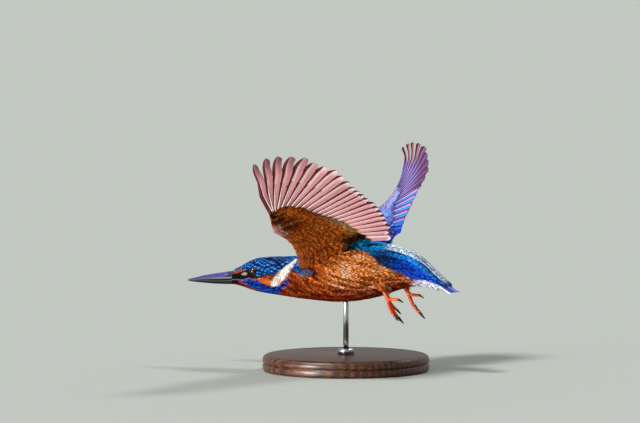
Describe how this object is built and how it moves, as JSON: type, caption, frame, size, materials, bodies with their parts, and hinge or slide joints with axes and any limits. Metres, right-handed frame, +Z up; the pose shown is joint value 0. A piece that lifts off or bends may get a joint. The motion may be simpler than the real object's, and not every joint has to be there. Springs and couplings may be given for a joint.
{
  "type": "kingfisher in flight on a stand",
  "caption": "Life-size common kingfisher in level flight, wings raised, long bill forward and red feet trailing, held up by a thin rod on a plain round stand.",
  "frame": {"origin": "centre of the stand's underside, on the floor", "axes": "+Z up; the bird faces -X, with its right wing towards +Y and its left wing towards -Y"},
  "size_m": [0.1651, 0.171, 0.1251],
  "materials": {
    "plumage_blue": "overlapping feathers, azure to royal blue",
    "plumage_rufous": "overlapping feathers, rufous orange to brown",
    "flight_feather": "stiff vanes, dull rose below and violet to blue above",
    "bill": "satin black horn with a pale tip",
    "eye": "wet, nearly black",
    "foot": "scaly skin, coral red",
    "claw": "black horn",
    "stand_wood": "turned and oiled dark wood",
    "stand_steel": "brushed"
  },
  "bodies": {
    "root": {"bill_lower": "bill", "bill_upper": "bill", "claw_left_hind": "claw", "claw_left_inner": "claw", "claw_left_middle": "claw", "claw_left_outer": "claw", "claw_right_hind": "claw", "claw_right_inner": "claw", "claw_right_middle": "claw", "claw_right_outer": "claw", "eye_left": "eye", "eye_right": "eye", "foot_left": "foot", "foot_right": "foot", "head": "plumage_blue", "neck": "plumage_rufous", "rump": "plumage_blue", "stand_base": "stand_wood", "stand_collar": "stand_steel", "stand_rod": "stand_steel", "tail": "plumage_blue", "tail_coverts": "plumage_blue", "thigh_left": "plumage_rufous", "thigh_right": "plumage_rufous", "trunk": "plumage_rufous", "wing_left_arm": "plumage_rufous", "wing_left_hand": "plumage_rufous", "wing_left_primaries": "flight_feather", "wing_left_secondaries": "flight_feather", "wing_right_arm": "plumage_rufous", "wing_right_hand": "plumage_rufous", "wing_right_primaries": "flight_feather", "wing_right_secondaries": "flight_feather"}
  },
  "joints": []
}
